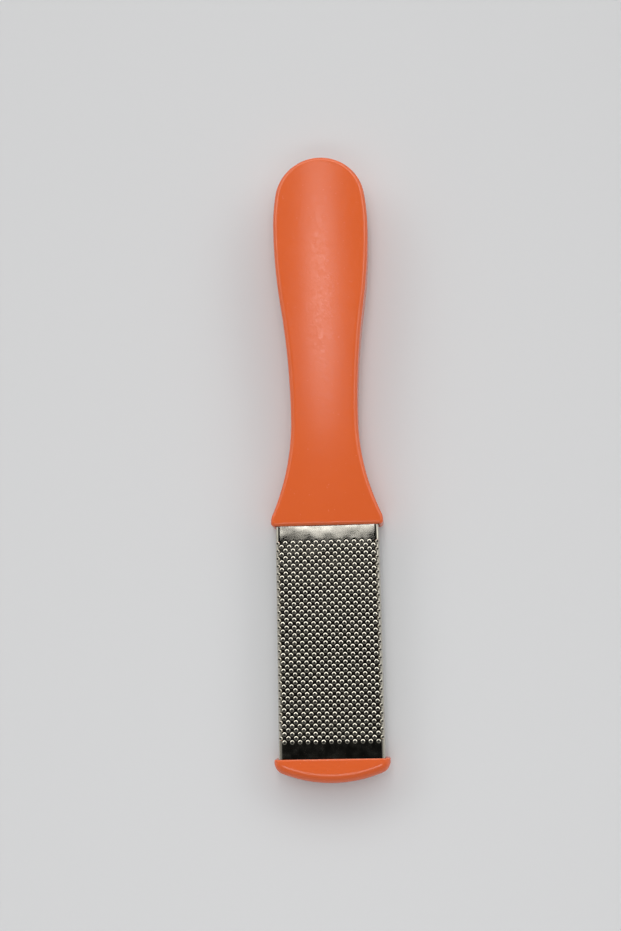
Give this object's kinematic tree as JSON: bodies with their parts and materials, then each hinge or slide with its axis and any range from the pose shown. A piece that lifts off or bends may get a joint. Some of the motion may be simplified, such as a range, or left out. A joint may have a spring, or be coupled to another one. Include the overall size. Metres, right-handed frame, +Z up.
{
  "type": "foot file",
  "caption": "Flat foot file with a burred steel rasp sheet in front, emery behind, a waisted moulded handle and a rounded end cap, for smoothing hard skin.",
  "frame": {"origin": "bottom centre of the bounding box: under the middle of the tool's length, on the plane of symmetry, in the plane that its flat back rests on", "axes": "+Z up, square to the rasp face; +Y along the tool, towards the handle's tip; +X to the right, seen from the rasp side with the handle up"},
  "size_m": [0.0372, 0.2088, 0.015],
  "materials": {
    "moulded_handle": "glossy injection moulded ABS, orange",
    "moulded_core": "injection moulded ABS, black, as moulded",
    "rasp_steel": "bright nickel-plated steel sheet with punched burrs",
    "emery_paper": "dark grey abrasive paper, fine grit",
    "adhesive_film": "double-sided adhesive film"
  },
  "bodies": {
    "root": {"handle_front_shell": "moulded_handle", "handle_back_shell": "moulded_handle", "blade_core": "moulded_core", "rasp_plate": "rasp_steel", "emery_sheet": "emery_paper", "emery_adhesive": "adhesive_film", "end_cap": "moulded_handle"}
  },
  "joints": []
}
